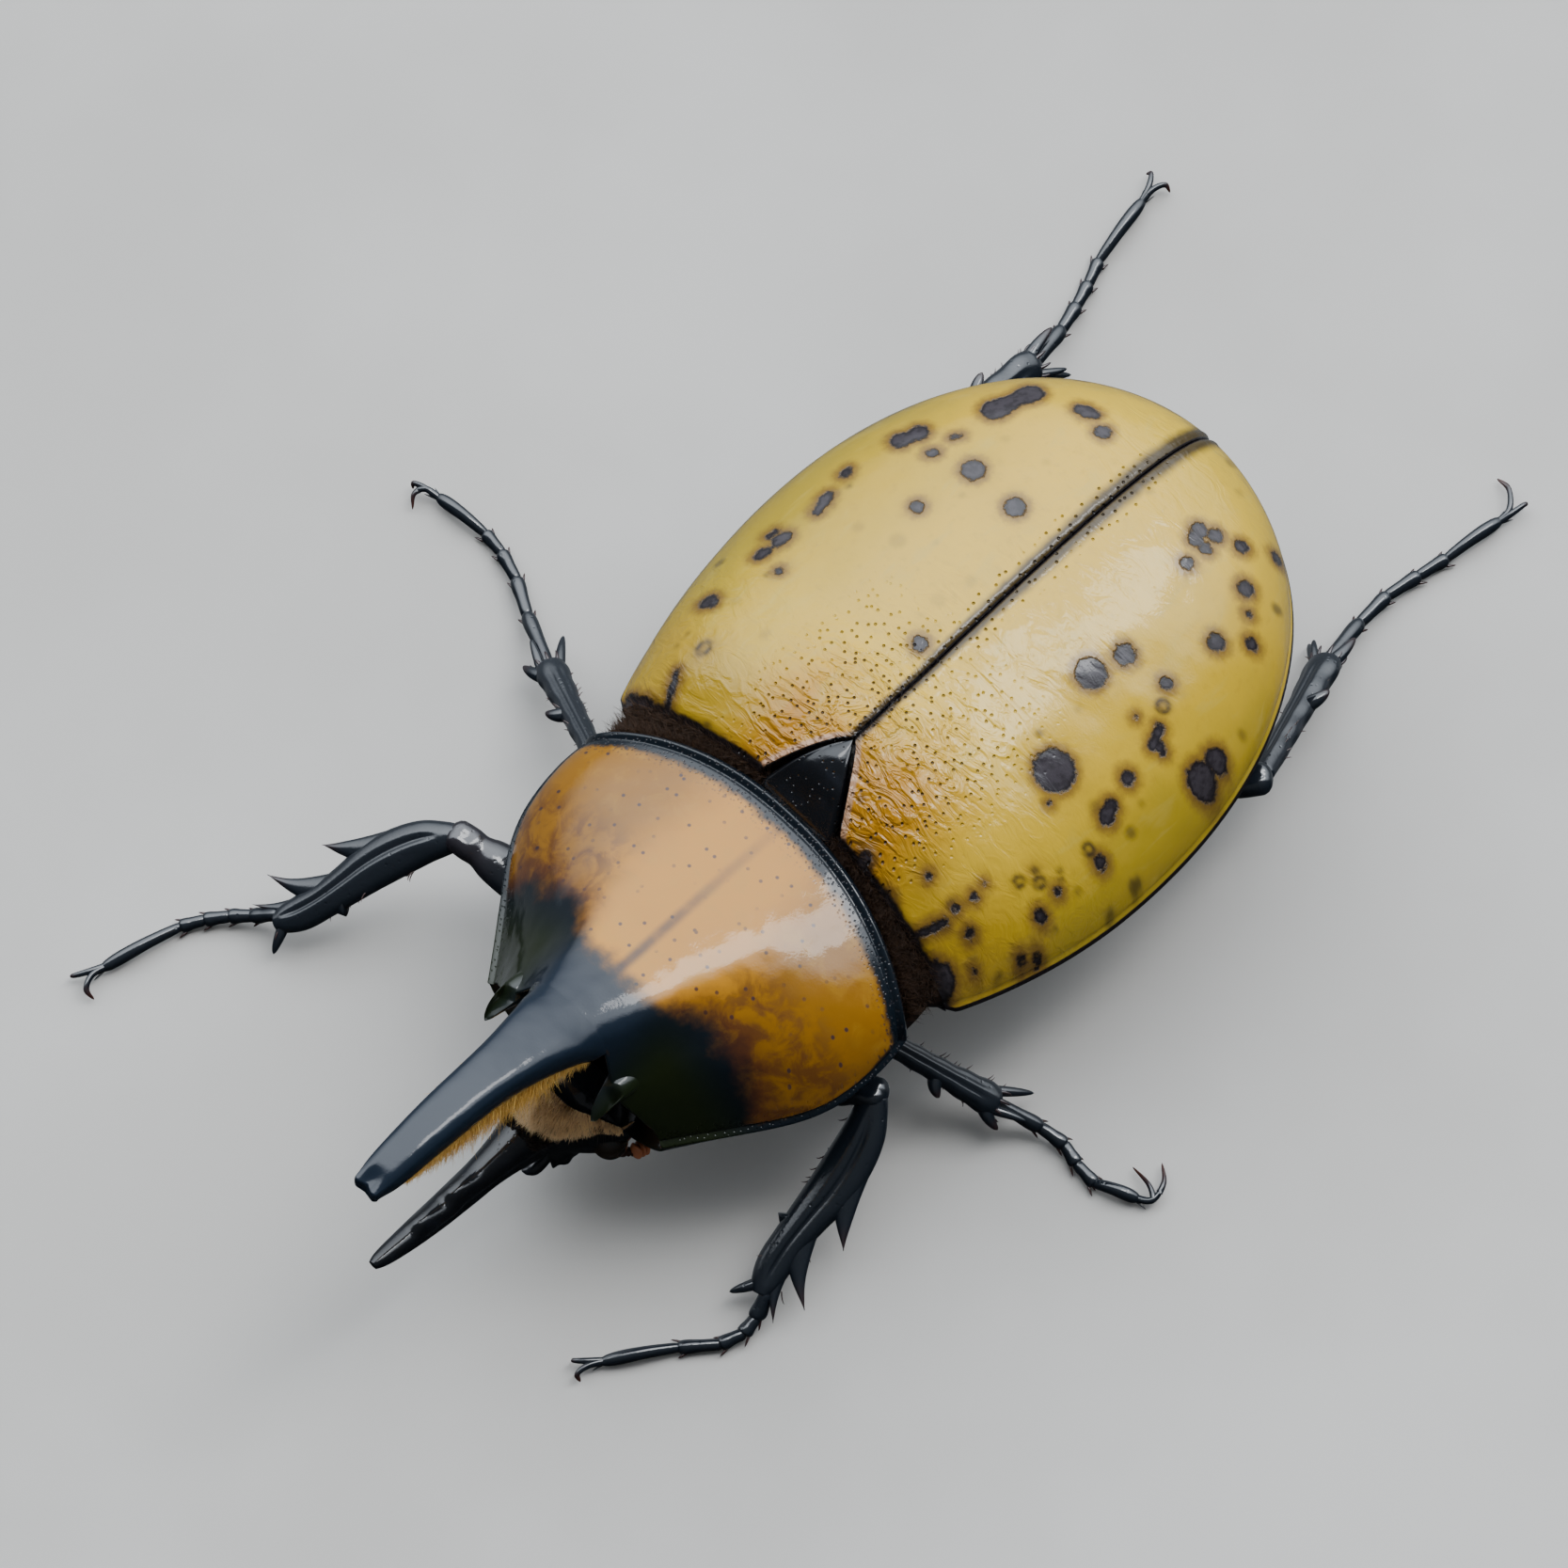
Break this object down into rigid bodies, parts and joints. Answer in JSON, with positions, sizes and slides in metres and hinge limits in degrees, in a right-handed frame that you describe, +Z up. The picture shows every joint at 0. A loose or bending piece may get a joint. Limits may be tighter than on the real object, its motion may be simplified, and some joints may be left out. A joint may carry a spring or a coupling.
{
  "type": "dynastes maya",
  "caption": "Life-size horned rhinoceros beetle, a still museum-like model of a male standing on its feet, with spotted yellow wing cases, amber shield and black horns.",
  "frame": {"origin": "on the floor, under the middle of the whole beetle's box", "axes": "+Z up from the floor; the beetle faces -Y, so its horns point along -Y and its hind end along +Y; its own left side is +X"},
  "size_m": [0.0584, 0.079, 0.0243],
  "materials": {
    "shield": "polished amber-orange chitin, black at the front and along its bead",
    "horn_black": "glossy blue-black chitin",
    "wing_case": "glossy olive-yellow chitin with dark spots and punctures",
    "leg_black": "satin blue-black chitin",
    "belly": "dark brown chitin with short hair",
    "eye": "glossy black faceted eye",
    "antenna": "red-brown chitin",
    "hair": "short golden-brown hair"
  },
  "bodies": {
    "root": {"abdomen": "belly", "antenna_left": "antenna", "antenna_right": "antenna", "cephalic_horn": "horn_black", "elytron_left": "wing_case", "elytron_right": "wing_case", "eye_left": "eye", "eye_right": "eye", "femur_front_left": "leg_black", "femur_front_right": "leg_black", "femur_hind_left": "leg_black", "femur_hind_right": "leg_black", "femur_middle_left": "leg_black", "femur_middle_right": "leg_black", "head": "horn_black", "mandible_left": "horn_black", "mandible_right": "horn_black", "prothorax": "shield", "scutellum": "horn_black", "tarsus_front_left": "leg_black", "tarsus_front_right": "leg_black", "tarsus_hind_left": "leg_black", "tarsus_hind_right": "leg_black", "tarsus_middle_left": "leg_black", "tarsus_middle_right": "leg_black", "thoracic_horn": "horn_black", "thorax_rear": "belly", "tibia_front_left": "leg_black", "tibia_front_right": "leg_black", "tibia_hind_left": "leg_black", "tibia_hind_right": "leg_black", "tibia_middle_left": "leg_black", "tibia_middle_right": "leg_black"}
  },
  "joints": []
}
